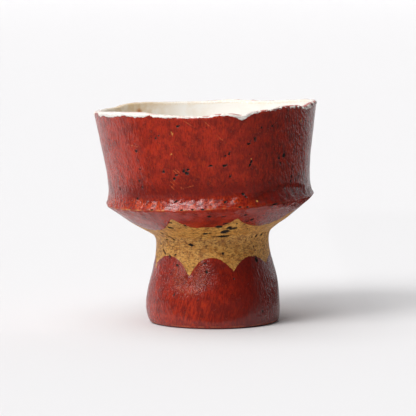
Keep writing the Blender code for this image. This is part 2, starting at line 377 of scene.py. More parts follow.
def scallops(tree, bearing, cusps, ends, bow):
    """Output for a scalloped line's level in mm, which runs through the cusps and bows to the lobes' ends.

    A colour ramp round the bearing holds, for each cusp and lobe, how near the cusp is, how far the
    cusp stands from the lobe's end, and the end's level.
    """
    stations = []
    for i, (at, level) in enumerate(cusps):
        after = cusps[i + 1] if i + 1 < len(cusps) else (cusps[0][0] + 360, cusps[0][1])
        end_here = (ends[i - 1] + ends[i]) / 2
        stations.append((at, 1.0, level - end_here, end_here))
        stations.append(((at + after[0]) / 2, 0.0, (level + after[1]) / 2 - ends[i], ends[i]))
    stations = sorted(((at + 180) % 360 / 360, *rest) for at, *rest in stations)
    first, last = stations[0], stations[-1]
    share = (1 - last[0]) / (first[0] + 1 - last[0])
    seam = [low + (high - low) * share for low, high in zip(last[1:], first[1:])]
    stations = [(0.0, *seam), *stations, (1.0, *seam)]

    turn = add(tree, "MapRange", [bearing, -180.0, 180.0])
    shade = add(tree, "ValToRGB", [turn])
    elements = shade.node.color_ramp.elements
    while len(elements) < len(stations):
        elements.new(1.0)
    for element, (at, near_cusp, depth, end) in zip(elements, stations):
        element.position = at
        element.color = (near_cusp, depth / RAMP_SPAN + 0.5, end / RAMP_TOP, 1.0)
    parts = add(tree, "SeparateColor", [shade]).node.outputs
    bowed = add(tree, "Math", [parts[0], bow], operation="POWER")
    depth = add(tree, "Math", [parts[1], RAMP_SPAN, -RAMP_SPAN / 2], operation="MULTIPLY_ADD")
    end = add(tree, "Math", [parts[2], RAMP_TOP], operation="MULTIPLY")
    return add(tree, "Math", [bowed, depth, end], operation="MULTIPLY_ADD")


def grain(tree, size, detail=2.0, stretch=(1, 1, 1), tilt=0.0):
    """A noise whose features are size metres wide, stretched along axes tilted about Y in degrees."""
    place = add(tree, "Mapping", {
        "Vector": add(tree, "TexCoord", out="Object"),
        "Rotation": (0, math.radians(tilt), 0),
        "Scale": tuple(size * s for s in stretch),
    }, vector_type="TEXTURE")
    return add(tree, "TexNoise", {"Vector": place, "Scale": 1.0, "Detail": detail, "Roughness": 0.6})


def scatter(tree, spacing, share, size):
    """Output that is 1 in small round pits strewn over the piece: one in share of the cells has a pit."""
    place = add(tree, "VectorMath", {
        0: add(tree, "TexCoord", out="Object"), "Scale": 1 / spacing
    }, operation="SCALE")
    cells = add(tree, "TexVoronoi", {"Vector": place, "Scale": 1.0}).node.outputs
    chance = add(tree, "SeparateColor", [cells["Color"]])
    reach = add(tree, "MapRange", [chance, 1 - share, 1.0, 0.0, size / spacing])
    inside = add(tree, "Math", [reach, cells["Distance"]], operation="SUBTRACT")
    return add(tree, "MapRange", [inside, 0.0, 0.1 * size / spacing])


def lay(tree, under, *coats):
    """Lays coats over a colour one after another, each given as the share that it covers and its colour."""
    for share, over in coats:
        sockets = {0: share, 6: under, 7: over}
        under = add(tree, "Mix", sockets, out=2, data_type="RGBA", clamp_factor=True)
    return under


def wider(tree, *shares):
    """The largest of some shares."""
    widest = shares[0]
    for share in shares[1:]:
        widest = add(tree, "Math", [widest, share], operation="MAXIMUM")
    return widest


def times(tree, *shares):
    """The product of some shares."""
    product = shares[0]
    for share in shares[1:]:
        product = add(tree, "Math", [product, share], operation="MULTIPLY")
    return product


def along(tree, level, middle, reach):
    """A soft strip round the piece: 1 at a middle level and 0 beyond its reach, both in mm."""
    over = add(tree, "Math", [level, middle], operation="SUBTRACT")
    off = add(tree, "Math", [over], operation="ABSOLUTE")
    return add(tree, "MapRange", [off, 0.25 * reach, reach, 1.0, 0.0])


def rightward(tree, bearing):
    """How far round to the right a bearing is: 1 at the right, 0 in front and behind, -1 at the left."""
    angle = add(tree, "Math", [bearing], operation="RADIANS")
    return add(tree, "Math", [angle], operation="SINE")


def fan_of_hairs(tree, bearing, level):
    """Output for hairs that fan out from a place on the foot and fade by 15 mm from it."""
    start = -FOOT_MM_A_DEGREE * HAIR_FAN[0]
    across = add(tree, "Math", [bearing, FOOT_MM_A_DEGREE, start], operation="MULTIPLY_ADD")
    up = add(tree, "Math", [level, HAIR_FAN[1]], operation="SUBTRACT")
    away = add(tree, "CombineXYZ", [across, up])
    distance = add(tree, "VectorMath", [away], out="Value", operation="LENGTH")
    angle = add(tree, "Math", [up, across], operation="ARCTAN2")
    spoke = add(tree, "CombineXYZ", [
        add(tree, "Math", [angle, HAIRS_ROUND], operation="MULTIPLY"),
        add(tree, "Math", [distance, HAIRS_OUT], operation="MULTIPLY"),
    ])
    hairs = add(tree, "TexNoise", {"Vector": spoke, "Scale": 1.0, "Detail": 2.0})
    return times(tree, hairs, [distance, 0.5, 2.0], [distance, 7.0, 15.0, 1.0, 0.0])


def slip_band(tree, foot, bowl):
    """Output that is 1 on the ochre band and 0 on the lacquer, from bearing and level on foot and bowl."""
    foot_edge = scallops(tree, foot[0], FOOT_CUSPS, [FOOT_CREST] * len(FOOT_CUSPS), FOOT_BOW)
    bowl_edge = scallops(tree, bowl[0], BOWL_CUSPS, BOWL_LOWS, BOWL_BOW)
    over_foot = add(tree, "Math", [foot[1], foot_edge], operation="SUBTRACT")
    under_bowl = add(tree, "Math", [bowl_edge, bowl[1]], operation="SUBTRACT")
    inside_band = add(tree, "Math", [over_foot, under_bowl], operation="MINIMUM")

    # A brushed edge wavers by up to 0.3 mm
    waver = add(tree, "MapRange", [grain(tree, 1.6 * MM), 0.2, 0.8, -0.3, 0.3])
    wavering = add(tree, "Math", [inside_band, waver], operation="ADD")
    return add(tree, "MapRange", [wavering, -0.1, 0.1])


def mottled_ochre(tree, colours, patches):
    """Ochre slip, mottled brown in strokes that run round the waist, with black where the brush skipped."""
    mottle = grain(tree, 1.3 * MM, 5.0, (1.4, 1.4, 1))
    stains = grain(tree, 0.6 * MM, 4.0, (1.8, 1.8, 1))
    skips = grain(tree, 0.45 * MM, 2.0, (5, 5, 1))
    squiggles = along(tree, grain(tree, 1.3 * MM, 3.0, (2.2, 2.2, 1)), 0.5, 0.03)
    return lay(
        tree,
        colours.pale_ochre,
        ([mottle, 0.44, 0.64], colours.ochre),
        ([stains, 0.5, 0.62, 0.0, 0.7], colours.brown),
        (times(tree, squiggles, [patches, 0.4, 0.6, 0.2, 0.9]), colours.brown),
        ([skips, 0.67, 0.72, 0.0, 0.65], colours.black),
    )


def lacquer_and_slip(colours):
    """Red lacquer over a band of ochre slip, brushed by hand on coarse clay: soft gloss, hairs and pits."""
    material, tree, shader = new_material("brushed_red_lacquer_on_ochre_slip", IOR=1.46)
    foot_bearing, foot_level = bearing_and_level(tree)
    bowl_bearing, bowl_level = bearing_and_level(tree, BOWL_LEAN, LEAN_PIVOT)
    band = slip_band(tree, (foot_bearing, foot_level), (bowl_bearing, bowl_level))
    right = rightward(tree, bowl_bearing)
    right_on_foot = rightward(tree, foot_bearing)
    on_foot = add(tree, "MapRange", [foot_level, 24.0, 30.0, 1.0, 0.0])
    on_keel = along(tree, bowl_level, KEEL_LEVEL + 1.6, 3.4)

    # A brush hair is 0.1 mm thick, too fine to show, so hairs are drawn about four times as thick
    cloudy = grain(tree, 14 * MM, 3.0)
    patches = grain(tree, 3.5 * MM, 3.0)
    peel = grain(tree, 0.7 * MM, 1.0, (1, 1, 2))
    specks = grain(tree, 0.7 * MM, 2.0)
    hairs = grain(tree, 0.42 * MM, 1.0, (1, 1, 9))
    cross_hairs = grain(tree, 0.45 * MM, 1.0, (16, 1, 1), 48)
    strokes = grain(tree, 0.5 * MM, 2.0, (1, 1, 7), 14)
    pulled = grain(tree, 0.9 * MM, 2.0, (4, 4, 1))
    streaks = grain(tree, 0.9 * MM, 2.0, (1, 1, 2.4), -10)
    smears = grain(tree, 1.1 * MM, 3.0, (1, 1, 3.5), -12)
    fanned = fan_of_hairs(tree, foot_bearing, foot_level)
    small_pits = scatter(tree, 4.2 * MM, 0.18, 0.4 * MM)
    open_pits = wider(tree, add(tree, "Attribute", out="Fac", attribute_name=PIT), small_pits)
    flecks = add(tree, "Attribute", out="Fac", attribute_name=FLECK)
    scratches = add(tree, "Attribute", out="Fac", attribute_name=SCRATCH)

    # The lacquer is thick in clouds, the right side is darkened as painted shade, and the lacquer is
    # thin where the brush dragged over the clay
    thick_and_shaded = wider(tree, [cloudy, 0.42, 0.68, 0.0, 0.55], [right, 0.1, 0.65, 0.0, 0.65])
    over_keel = times(tree, along(tree, bowl_level, KEEL_LEVEL + 5.8, 4.0), [cloudy, 0.35, 0.5, 0.2, 0.6])
    # Orange along the keel where the lacquer is rubbed thin, strongest on the lit left, where it is partly
    # painted light
    rubbed = times(
        tree,
        along(tree, bowl_level, KEEL_LEVEL + 1.0, 3.0),
        [patches, 0.46, 0.58],
        [right, 0.2, 0.6, 0.95, 0.1],
    )
    # Deep red on the keel, pooled in its grain, and laid over the keel's right as painted shade
    pooled = times(tree, on_keel, wider(tree, [right, 0.2, 0.6, 0.0, 0.9], [peel, 0.42, 0.54, 0.8, 0.0]))
    # Dark smears, laid only on the right side as painted shade
    smeared_and_shaded = times(tree, [right, 0.25, 0.6], [smears, 0.5, 0.62, 0.0, 0.5])

    # On the foot dark strokes run over it all, and bright ones low down, most on the lit left, where
    # they are partly painted light
    dark_strokes = times(tree, on_foot, [strokes, 0.36, 0.54, 0.7, 0.0])
    bright_strokes_and_light = times(
        tree,
        [foot_level, 5.0, 16.0, 1.0, 0.0],
        [right_on_foot, -0.2, 0.5, 1.0, 0.2],
        [strokes, 0.5, 0.66, 0.0, 0.4],
    )
    # The right of the foot is darkened as painted shade
    foot_shaded = times(tree, on_foot, [right_on_foot, -0.2, 0.6, 0.1, 0.6])

    # The lacquer is thin along the keel's lower edge and the foot's, and paler slip shows there in specks
    thin_edge = times(tree, along(tree, bowl_level, KEEL_LEVEL - 0.6, 0.3), [right, -0.1, 0.3, 1.0, 0.15])
    thin_rim = along(tree, foot_level, 0.9, 0.35)
    edge_specks = times(tree, thin_edge, [specks, 0.45, 0.6, 0.0, 0.6], [patches, 0.42, 0.52, 0.2, 1.0])
    red = lay(
        tree,
        colours.red,
        (thick_and_shaded, colours.deep_red),
        ([patches, 0.45, 0.65, 0.0, 0.6], colours.deep_red),
        ([peel, 0.5, 0.7, 0.0, 0.35], colours.orange),
        ([hairs, 0.5, 0.64, 0.0, 0.45], colours.deep_red),
        (over_keel, colours.deep_red),
        ([cross_hairs, 0.6, 0.75, 0.0, 0.3], colours.orange),
        ([specks, 0.6, 0.68, 0.0, 0.5], colours.black),
        (rubbed, colours.orange),
        (pooled, colours.deep_red),
        (smeared_and_shaded, colours.black),
        (dark_strokes, colours.deep_red),
        (bright_strokes_and_light, colours.orange),
        (foot_shaded, colours.deep_red),
        # Pale hairs fanned on the foot, partly hair marks and partly painted glints
        ([fanned, 0.48, 0.64, 0.0, 0.35], colours.thin),
        (times(tree, thin_rim, [patches, 0.45, 0.6, 0.0, 0.5]), colours.thin),
        (edge_specks, colours.pale_ochre),
        (times(tree, scratches, [peel, 0.4, 0.6, 0.1, 0.6]), colours.thin),
        (times(tree, flecks, [specks, 0.3, 0.6, 0.4, 0.9]), colours.pale_ochre),
    )
    coat = lay(tree, red, (band, mottled_ochre(tree, colours, patches)), (open_pits, colours.black))
    tree.links.new(coat, shader.inputs["Base Color"])

    # The slip, the thin edges and the open pits are dry
    gloss = add(tree, "MapRange", [patches, 0.3, 0.7, 0.16, 0.28])
    dry = wider(tree, open_pits, times(tree, wider(tree, band, thin_edge, thin_rim), 0.5))
    dull = add(tree, "Math", [dry, 0.6, gloss], operation="MULTIPLY_ADD")
    tree.links.new(dull, shader.inputs["Roughness"])

    # The coat is brushed thin over the clay's grain, and ripples where it gathered on the keel
    facing = add(tree, "Math", [bowl_bearing], operation="ABSOLUTE")
    streaky = times(tree, [facing, 25.0, 60.0], [streaks, 0.3, 0.7])
    layers = (
        (peel, 0.2), (hairs, 0.15), (cross_hairs, 0.1), (patches, 0.4), (specks, 0.1), (small_pits, -1.0),
        (times(tree, on_keel, pulled), 1.2), (streaky, 0.9), (times(tree, on_foot, strokes), 0.3),
        (fanned, 1.4), (band, -0.3),
    )
    height = 0.0
    for layer, weight in layers:
        height = add(tree, "Math", [layer, weight, height], operation="MULTIPLY_ADD")
    bump = add(tree, "Bump", {"Height": height, "Strength": 1.0, "Distance": 0.25 * MM})
    tree.links.new(bump, shader.inputs["Normal"])
    return material


def glazed(tree, colours):
    """The glaze's colour: white, tan where it ran thin and as painted shade on the left, with a stain that is
    partly painted shade and a rust spot under the lip.
    """
    place = add(tree, "TexCoord", out="Object")
    across = add(tree, "SeparateXYZ", [place])
    spots, blotches = grain(tree, 6 * MM, 4.0), grain(tree, 4 * MM, 4.0)
    # Tan where the glaze ran thin, fading towards the lit right, so that on the left it is painted shade
    thin = times(tree, [spots, 0.48, 0.7, 0.0, 0.3], [across, -20 * MM, 20 * MM, 1.0, 0.4])
    # A tan stain at the far left under the lip, partly painted shade
    from_stain = add(tree, "VectorMath", [place, STAIN_AND_SHADE], out="Value", operation="DISTANCE")
    stain_and_shade = times(
        tree,
        [from_stain, 6 * MM, 24 * MM, 0.85, 0.0],
        [blotches, 0.3, 0.55, 0.35, 1.0],
    )
    from_rust = add(tree, "VectorMath", [place, RUST], out="Value", operation="DISTANCE")
    return lay(
        tree,
        colours.white,
        (wider(tree, thin, stain_and_shade), colours.tan),
        ([from_rust, 0.5 * MM, 1.7 * MM, 0.9, 0.0], colours.rust),
    )


def white_glaze(colours):
    """Glossy tin-white glaze on the inside, rippled where it pooled."""
    material, tree, shader = new_material("glossy_white_glaze", IOR=1.5, Roughness=0.16)
    tree.links.new(glazed(tree, colours), shader.inputs["Base Color"])
    ripples = grain(tree, 2.5 * MM, 2.0)
    bump = add(tree, "Bump", {"Height": ripples, "Strength": 0.25, "Distance": 0.2 * MM})
    tree.links.new(bump, shader.inputs["Normal"])
    return material


def torn_clay(colours):
    """White glaze over a torn lip: bright on the left, dry and grey on the right, where the grey is partly
    painted shade, and a red line on its crest.
    """
    material, tree, shader = new_material("glaze_on_torn_clay", IOR=1.45)
    bearing = bearing_and_level(tree, BOWL_LEAN, LEAN_PIVOT)[0]
    depth = add(tree, "Attribute", out="Fac", attribute_name=DEPTH)
    layers = grain(tree, 0.45 * MM, 4.0, (4, 4, 1))
    crumbs = grain(tree, 0.8 * MM, 3.0)
    chips = grain(tree, 1.3 * MM, 2.0, (1.5, 1.5, 1))
    inner_rim = times(tree, along(tree, depth, -0.5, 0.9), [crumbs, 0.35, 0.6, 0.05, 0.4])
    # Grey where the torn clay is dry, more of it to the right, where it is also painted shade
    dry = times(
        tree,
        [depth, 0.15, 0.6],
        [layers, 0.4, 0.65, 0.25, 1.0],
        [bearing, -15.0, 30.0, 0.35, 0.75],
    )
    # Deep red in chips on the right of the torn clay, as painted shade in its hollows
    shaded_gaps = times(tree, [chips, 0.5, 0.45], [bearing, 15.0, 35.0, 0.0, 0.9], [depth, 0.0, 0.25])
    red_line = times(
        tree,
        along(tree, depth, 0.12, 0.2),
        [grain(tree, 5 * MM, 4.0), 0.45, 0.55],
        [bearing, -35.0, 25.0, 0.3, 0.95],
    )
    coat = lay(
        tree,
        glazed(tree, colours),
        (inner_rim, colours.tan),
        (dry, colours.grey),
        (shaded_gaps, colours.deep_red),
        (red_line, colours.red),
    )
    tree.links.new(coat, shader.inputs["Base Color"])
    tree.links.new(add(tree, "MapRange", [depth, 0.0, 0.6, 0.2, 0.6]), shader.inputs["Roughness"])
    both = add(tree, "Math", [layers, crumbs], operation="ADD")
    rough = times(tree, both, [depth, 0.0, 0.5, 0.1, 1.0])
    bump = add(tree, "Bump", {"Height": rough, "Strength": 0.4, "Distance": 0.2 * MM})
    tree.links.new(bump, shader.inputs["Normal"])
    return material


def bare_clay(colours):
    """Fired red-brown clay, unglazed under the foot: dry and gritty."""
    material, tree, shader = new_material("bare_fired_clay", IOR=1.45, Roughness=0.85)
    grit = grain(tree, 0.6 * MM, 4.0)
    coat = lay(
        tree,
        colours.clay,
        ([grain(tree, 8 * MM, 3.0), 0.35, 0.65, 0.0, 0.6], colours.deep_red),
        ([grit, 0.6, 0.75, 0.0, 0.7], colours.black),
    )
    tree.links.new(coat, shader.inputs["Base Color"])
    bump = add(tree, "Bump", {"Height": grit, "Strength": 0.7, "Distance": 0.15 * MM})
    tree.links.new(bump, shader.inputs["Normal"])
    return material


def paper(studio):
    """Matt background paper, with nothing on it to catch the eye."""
    return new_material("matt_background_paper", Base_Color=studio.sweep, Roughness=0.9)[0]


def read(place, lean):
    """A place's bearing in degrees, radius and level, on a wall that leans by lean about the pivot."""
    sine, cosine = math.sin(lean), math.cos(lean)
    x, y, arm = place.x - FOOT_AXIS.x, place.y - FOOT_AXIS.y, place.z - LEAN_PIVOT
    across, level = x * cosine + arm * sine, LEAN_PIVOT + arm * cosine - x * sine
    return math.degrees(math.atan2(across, -y)), math.hypot(across, y), level


def in_the_bowl(place):
    """A place's bearing, radius and level in the leaning bowl's own frame."""
    return read(place, BOWL_LEAN)


def spot(bearing, radius, level, lean):
    """The place that has this bearing, radius and level on a wall that leans by lean."""
    sine, cosine = math.sin(lean), math.cos(lean)
    across, arm = radius * math.sin(math.radians(bearing)), level - LEAN_PIVOT
    y = -radius * math.cos(math.radians(bearing))
    return FOOT_AXIS + Vector((across * cosine - arm * sine, y, LEAN_PIVOT + arm * cosine + across * sine))


def outward(place, facing):
    """How squarely a facing points away from the bowl's axis, from -1 to 1."""
    bearing = in_the_bowl(place)[0]
    away = spot(bearing, 1, 0, BOWL_LEAN) - spot(bearing, 0, 0, BOWL_LEAN)
    return facing.dot(away)


def ease(share):
    """A share from 0 to 1, smoothed at both ends."""
    share = min(1.0, max(0.0, share))
    return share * share * (3 - 2 * share)


def make_only(piece):
    """Selects this piece alone and makes it active."""
    bpy.ops.object.select_all(action="DESELECT")
    piece.select_set(True)
    bpy.context.view_layer.objects.active = piece


def copy_of_cup(name):
    """A copy of the solid cup as a new piece, its loose triangles merged and joined in pairs to quads."""
    piece = bpy.data.objects.new(name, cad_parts[NODE].data.copy())
    piece.data.name = name
    piece.data.materials.clear()
    bpy.context.scene.collection.objects.link(piece)
    make_only(piece)
    bpy.ops.object.mode_set(mode="EDIT")
    bpy.ops.mesh.select_all(action="SELECT")
    bpy.ops.mesh.remove_doubles(threshold=1e-6)
    bpy.ops.mesh.tris_convert_to_quads(face_threshold=math.radians(50), shape_threshold=math.radians(60))
    bpy.ops.object.mode_set(mode="OBJECT")
    piece.data.shade_smooth()
    return piece


def choose(mesh, wanted):
    """Selects the faces for which wanted(face) holds, and nothing else, outside edit mode."""
    for group in (mesh.vertices, mesh.edges):
        group.foreach_set("select", [False] * len(group))
    mesh.polygons.foreach_set("select", [bool(wanted(face)) for face in mesh.polygons])


def select_faces(piece, wanted):
    """Enters edit mode on faces, with only those selected for which wanted(centre, normal) holds."""
    choose(piece.data, lambda face: wanted(face.center, face.normal))
    bpy.ops.object.mode_set(mode="EDIT")
    bpy.ops.mesh.select_mode(type="FACE")


def keep_faces(piece, wanted):
    """Deletes every face of the piece but those for which wanted(centre, normal) holds."""
    select_faces(piece, lambda centre, normal: not wanted(centre, normal))
    bpy.ops.mesh.delete(type="FACE")
    bpy.ops.object.mode_set(mode="OBJECT")


def shape(piece, kind, **settings):
    """Adds a modifier with these settings and applies it."""
    make_only(piece)
    modifier = piece.modifiers.new(kind, kind)
    for name, value in settings.items():
        setattr(modifier, name, value)
    bpy.ops.object.modifier_apply(modifier=modifier.name)


def weigh(piece, name, weight_of):
    """A vertex group in which each point weighs what weight_of(place, normal) says, from 0 to 1."""
    group = piece.vertex_groups.new(name=name)
    for point in piece.data.vertices:
        group.add([point.index], min(1.0, max(0.0, weight_of(point.co, point.normal))), "REPLACE")
    return name


def close_to(piece, mark, lean, mm_a_degree, places, margin):
    """Yields the places near a mark, by index, with how far out of it each lies: 1 is the mark's edge."""
    bearing, level, long, wide, *tilt = mark
    outside, axis = (spot(bearing, radius, level * MM, lean) for radius in (0.1, 0))
    found, middle, _, _ = piece.ray_cast(outside, axis - outside)
    if not found:
        raise RuntimeError(f"no wall at bearing {bearing} and level {level}")
    turn = math.radians(tilt[0] if tilt else 0)
    sine, cosine = math.sin(turn), math.cos(turn)
    for place, index, _ in places.find_range(middle, (long / 2 + margin) * MM):
        here, _, height = read(place, lean)
        right, up = (here - bearing) * mm_a_degree, height / MM - level
        lengthways = (right * cosine + up * sine) / (long / 2 + margin)
        crossways = (up * cosine - right * sine) / (wide / 2 + margin)
        yield index, math.hypot(lengthways, crossways)


def tree_of(points):
    """A search tree of some places."""
    tree = kdtree.KDTree(len(points))
    for index, place in enumerate(points):
        tree.insert(place, index)
    tree.balance()
    return tree


def refine_near(piece, groups, margin, cuts):
    """Divides the faces of the piece that lie within a margin in mm of a mark."""
    centres = tree_of([face.center for face in piece.data.polygons])
    near = set()
    for marks, lean, mm_a_degree in groups:
        for mark in marks:
            places = close_to(piece, mark, lean, mm_a_degree, centres, margin)
            near.update(index for index, off in places if off < 1)
    choose(piece.data, lambda face: face.index in near)
    bpy.ops.object.mode_set(mode="EDIT")
    bpy.ops.mesh.subdivide(number_cuts=cuts)
    bpy.ops.object.mode_set(mode="OBJECT")


def mark_out(piece, name, groups, rough=0.35):
    """An attribute that is 1 inside the marks and 0 away from them, with frayed edges, as a list too.

    A mark reaches 0.06 mm past its size, fades over a fifth of its half width and frays by rough, in
    frays of 0.45 mm.
    """
    points = tree_of([point.co for point in piece.data.vertices])
    shares = [0.0] * len(piece.data.vertices)
    for marks, lean, mm_a_degree in groups:
        for mark in marks:
            for index, off in close_to(piece, mark, lean, mm_a_degree, points, 0.06):
                fray = rough * noise.noise(piece.data.vertices[index].co / (0.45 * MM))
                shares[index] = max(shares[index], min(1.0, (1 - off * (1 + fray)) / 0.2))
    piece.data.attributes.new(name, "FLOAT", "POINT").data.foreach_set("value", shares)
    return shares


def clouds(name, width):
    """A soft cloud pattern for Displace, with clouds of this width."""
    texture = bpy.data.textures.new(name, "CLOUDS")
    texture.noise_scale = width
    texture.noise_depth = 2
    return texture


def is_inside(centre, normal):
    """Whether a face is part of the bowl's inside, up to the lip's crest."""
    return in_the_bowl(centre)[2] > BOWL_FLOOR and outward(centre, normal) < 0.1


def is_wall(centre, normal):
    """Whether a face is part of the outside, which shows the coat."""
    return not is_inside(centre, normal) and not is_under_foot(centre, normal)


def is_under_foot(centre, normal):
    """Whether a face is part of the ring that the cup stands on, or of the hollow above it."""
    away = Vector((centre.x - FOOT_AXIS.x, centre.y - FOOT_AXIS.y, 0)).normalized()
    return centre.z < HOLLOW_TOP and normal.dot(away) < 0.3


def crest_levels(piece, spokes):
    """The lip's highest level on each spoke round the bowl, as a function of the bearing."""
    highest = {}
    for point in piece.data.vertices:
        bearing, _, level = in_the_bowl(point.co)
        spoke = round(bearing / 360 * spokes) % spokes
        highest[spoke] = max(level, highest.get(spoke, 0.0))

    def crest(bearing):
        at = bearing / 360 * spokes
        low = math.floor(at)
        share = at - low
        return highest[low % spokes] * (1 - share) + highest[(low + 1) % spokes] * share

    return crest


def torn_drop(bearing):
    """How far the torn edge hangs below the crest, in metres: as listed in front, by a noise elsewhere."""
    first, last = TORN_EDGE[0], TORN_EDGE[-1]
    if first[0] <= bearing <= last[0]:
        for (start, here), (end, there) in zip(TORN_EDGE, TORN_EDGE[1:]):
            if start <= bearing <= end:
                drop = here + (there - here) * (bearing - start) / (end - start)
                break
    else:
        around = math.radians(bearing)
        drop = 1.2 + 1.6 * noise.noise(Vector((math.sin(around), math.cos(around), 0.4)) * 7)

    # The edge is finely ragged all round, and crumbly from a bearing of 34 on
    ragged = 0.35 + 0.75 * ease((bearing - 34) / 10)
    fine = ragged * noise.noise(Vector((bearing / 2.2, 1.7, 0)))
    return max(0.2, drop - TORN_TRIM + fine) * MM


class CUP_OT_clay_body(bpy.types.Operator):
    """Makes the clay body: dented, lumpy along the keel, lacquered outside and bare under the foot"""

    bl_idname = "cup.clay_body"
    bl_label = "Clay body"

    def execute(self, context):
        sizes, colours = context.scene.cup_sizes, context.scene.cup_colours
        body = copy_of_cup("cup_body")
        body.data.materials.append(bare_clay(colours))
        body.data.materials.append(None)
        select_faces(body, lambda centre, normal: not is_under_foot(centre, normal))
        body.active_material_index = 1
        bpy.ops.object.material_slot_assign()
        bpy.ops.object.mode_set(mode="OBJECT")
        shape(body, "SUBSURF", levels=1, render_levels=1)
        select_faces(body, is_wall)
        bpy.ops.mesh.subdivide(number_cuts=1)
        bpy.ops.object.mode_set(mode="OBJECT")

        crest = crest_levels(body, SPOKES)

        def wall(place, normal):
            """1 on the outer wall, and less in its last 6 mm towards the lip and the table."""
            if not is_wall(place, normal):
                return 0.0
            bearing, _, level = in_the_bowl(place)
            below_lip = (crest(bearing) - 1.5 * MM - level) / (6 * MM)
            above_foot = place.z / (6 * MM)
            return min(below_lip, above_foot)

        def keel(place, normal):
            """1 along the keel's edge, and less to 3.2 mm from it."""
            level = in_the_bowl(place)[2]
            return wall(place, normal) * (1 - abs(level - KEEL_LEVEL * MM) / (3.2 * MM))

        def scoop(place, normal):
            """How deep in mm the scoops are at a place."""
            if not is_wall(place, normal):
                return 0.0
            bearing, _, level = in_the_bowl(place)
            deepest = 0.0
            for start, end, floor, crown, below, above, depth in SCOOPS:
                across = (bearing - start) * (end - bearing) / ((end - start) / 2) ** 2
                if across > 0:
                    off = level / MM - floor - crown * across
                    up = 1 - (off / above if off > 0 else -off / below)
                    deepest = max(deepest, min(1.0, 2 * across) * ease(up) * depth)
            return deepest

        on_wall, on_keel = weigh(body, "wall", wall), weigh(body, "keel", keel)
        shape(body, "DISPLACE", strength=-1 * MM, mid_level=0.0, vertex_group=weigh(body, "scoop", scoop))
        dents = clouds("finger_dents", sizes.dent_width)
        lumps = clouds("clay_lumps", sizes.lump_width)
        shape(body, "DISPLACE", texture=dents, strength=sizes.dent_depth, vertex_group=on_wall)
        shape(body, "DISPLACE", texture=lumps, strength=sizes.lump_height, vertex_group=on_wall)
        shape(body, "DISPLACE", texture=dents, strength=sizes.keel_dent, vertex_group=on_keel)
        shape(body, "DISPLACE", texture=lumps, strength=sizes.keel_lump, vertex_group=on_keel)
        refine_near(body, PITS + FLECKS + SCRATCHES, margin=0.3, cuts=4)
        refine_near(body, SCRATCHES, margin=0.15, cuts=1)
        mark_out(body, SCRATCH, SCRATCHES, rough=0.1)
        mark_out(body, FLECK, FLECKS)
        pits = mark_out(body, PIT, PITS)
        sunk = body.vertex_groups.new(name="sunk")
        for index, share in enumerate(pits):
            if share > 0:
                sunk.add([index], share * share, "REPLACE")
        shape(body, "DISPLACE", strength=-sizes.pit_depth, mid_level=0.0, vertex_group=sunk.name)
        body.data.materials[1] = lacquer_and_slip(colours)
        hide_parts(NODE)
        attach(body, BODY)
        return {"FINISHED"}


class CUP_OT_glaze_lining(bpy.types.Operator):
    """Makes the white glaze that lines the bowl, a thin closed skin on the clay"""

    bl_idname = "cup.glaze_lining"
    bl_label = "Glaze lining"

    def execute(self, context):
        sizes, colours = context.scene.cup_sizes, context.scene.cup_colours
        lining = copy_of_cup("glaze_lining")
        keep_faces(lining, is_inside)
        shape(lining, "SUBSURF", levels=2, render_levels=2)
        shape(lining, "DISPLACE", strength=sizes.glaze, mid_level=0.0)
        shape(lining, "SOLIDIFY", thickness=2 * sizes.glaze, offset=-1.0)
        lining.data.materials.append(white_glaze(colours))
        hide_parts(NODE)
        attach(lining, BODY)
        return {"FINISHED"}


